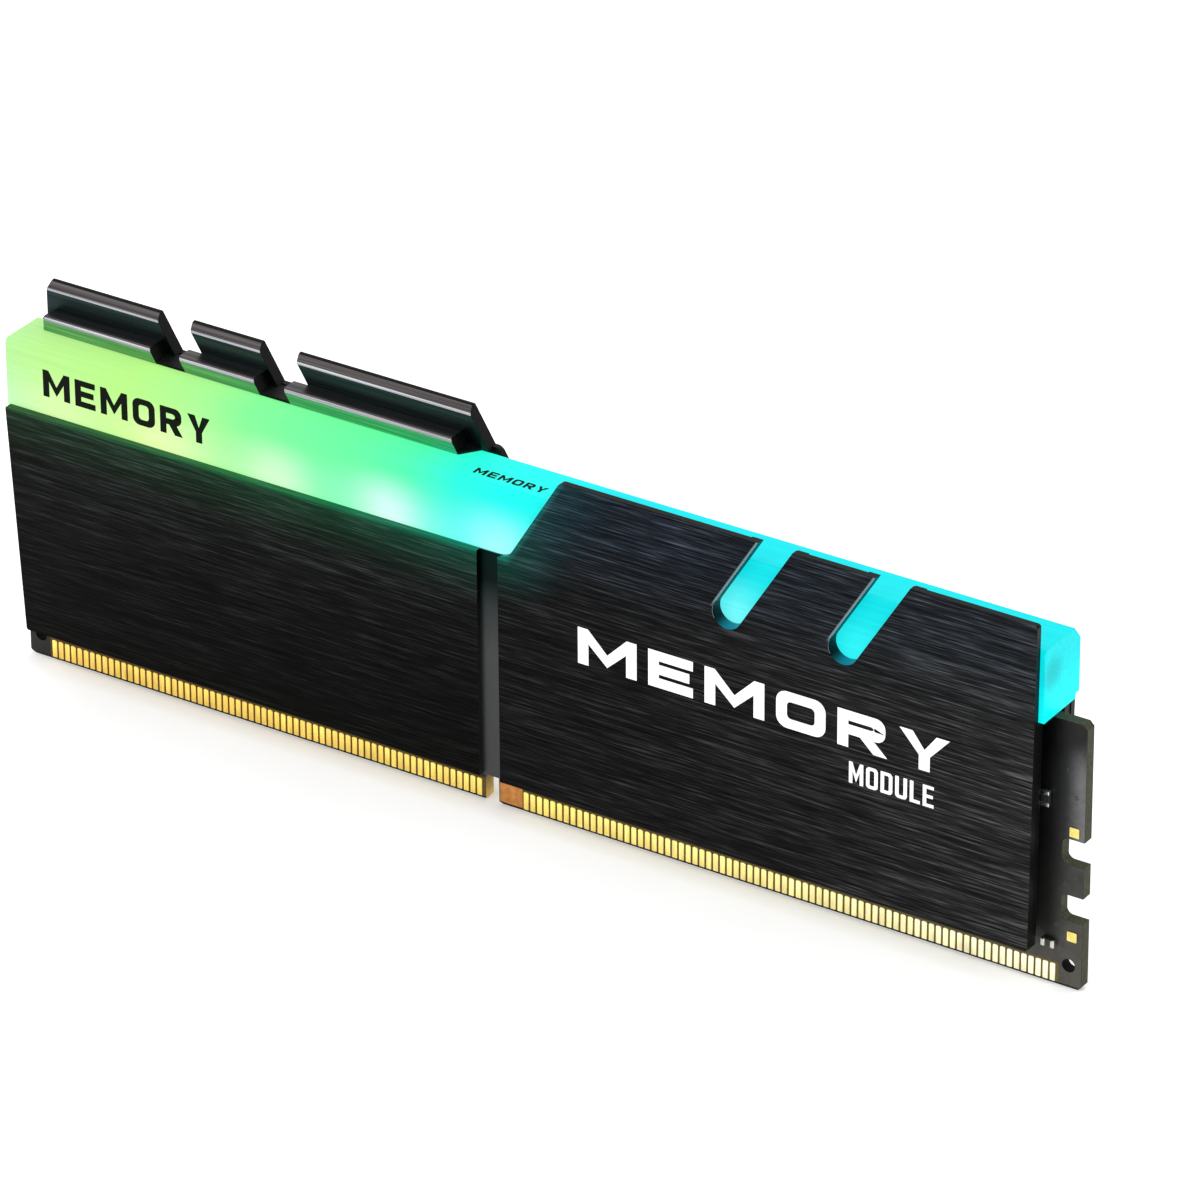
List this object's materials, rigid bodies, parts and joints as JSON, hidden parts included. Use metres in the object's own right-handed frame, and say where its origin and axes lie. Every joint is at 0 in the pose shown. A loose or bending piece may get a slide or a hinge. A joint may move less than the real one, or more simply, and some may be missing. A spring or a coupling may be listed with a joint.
{
  "type": "ram module",
  "caption": "Desktop memory module: notched card with gold edge contacts, two black brushed heat spreaders with stepped fins, and a lit diffuser bar along the top.",
  "frame": {"origin": "middle of the card's bottom edge, halfway through its thickness", "axes": "+X along the card, to the right when the front spreader faces the viewer; +Y from the front spreader to the rear spreader; +Z from the contact edge up to the fins"},
  "size_m": [0.1334, 0.008, 0.0445],
  "materials": {
    "board": "black solder mask over glass-fibre laminate, olive at the cut edges",
    "gold": "hard gold plating, satin",
    "chip_epoxy": "matte moulded epoxy",
    "choke_ferrite": "matte sintered ferrite",
    "capacitor_ceramic": "fired ceramic with tinned ends",
    "thermal_pad": "soft matte silicone",
    "led_lens": "clear moulded lens",
    "diffuser": "milky acrylic lit from inside, green to cyan",
    "brushed_aluminium": "lengthwise brushed, black anodised",
    "label_film": "satin printed film, left blank"
  },
  "bodies": {
    "root": {"pcb": "board", "contacts_front_left": "gold", "contacts_front_right": "gold", "contacts_rear_left": "gold", "contacts_rear_right": "gold", "memory_chip_front_1": "chip_epoxy", "memory_chip_front_2": "chip_epoxy", "memory_chip_front_3": "chip_epoxy", "memory_chip_front_4": "chip_epoxy", "memory_chip_front_5": "chip_epoxy", "memory_chip_front_6": "chip_epoxy", "memory_chip_front_7": "chip_epoxy", "memory_chip_front_8": "chip_epoxy", "memory_chip_rear_1": "chip_epoxy", "memory_chip_rear_2": "chip_epoxy", "memory_chip_rear_3": "chip_epoxy", "memory_chip_rear_4": "chip_epoxy", "memory_chip_rear_5": "chip_epoxy", "memory_chip_rear_6": "chip_epoxy", "memory_chip_rear_7": "chip_epoxy", "memory_chip_rear_8": "chip_epoxy", "spd_chip": "chip_epoxy", "led_driver_chip": "chip_epoxy", "voltage_filter_choke": "choke_ferrite", "edge_capacitor_upper": "capacitor_ceramic", "edge_capacitor_lower": "capacitor_ceramic", "test_pad_upper": "gold", "test_pad_lower": "gold", "thermal_pad_front": "thermal_pad", "thermal_pad_rear": "thermal_pad", "led_1": "led_lens", "led_2": "led_lens", "led_3": "led_lens", "led_4": "led_lens", "led_5": "led_lens", "led_6": "led_lens", "led_7": "led_lens", "led_8": "led_lens", "led_9": "led_lens", "light_bar": "diffuser", "heat_spreader_front": "brushed_aluminium", "heat_spreader_rear": "brushed_aluminium", "blank_label": "label_film"}
  },
  "joints": []
}
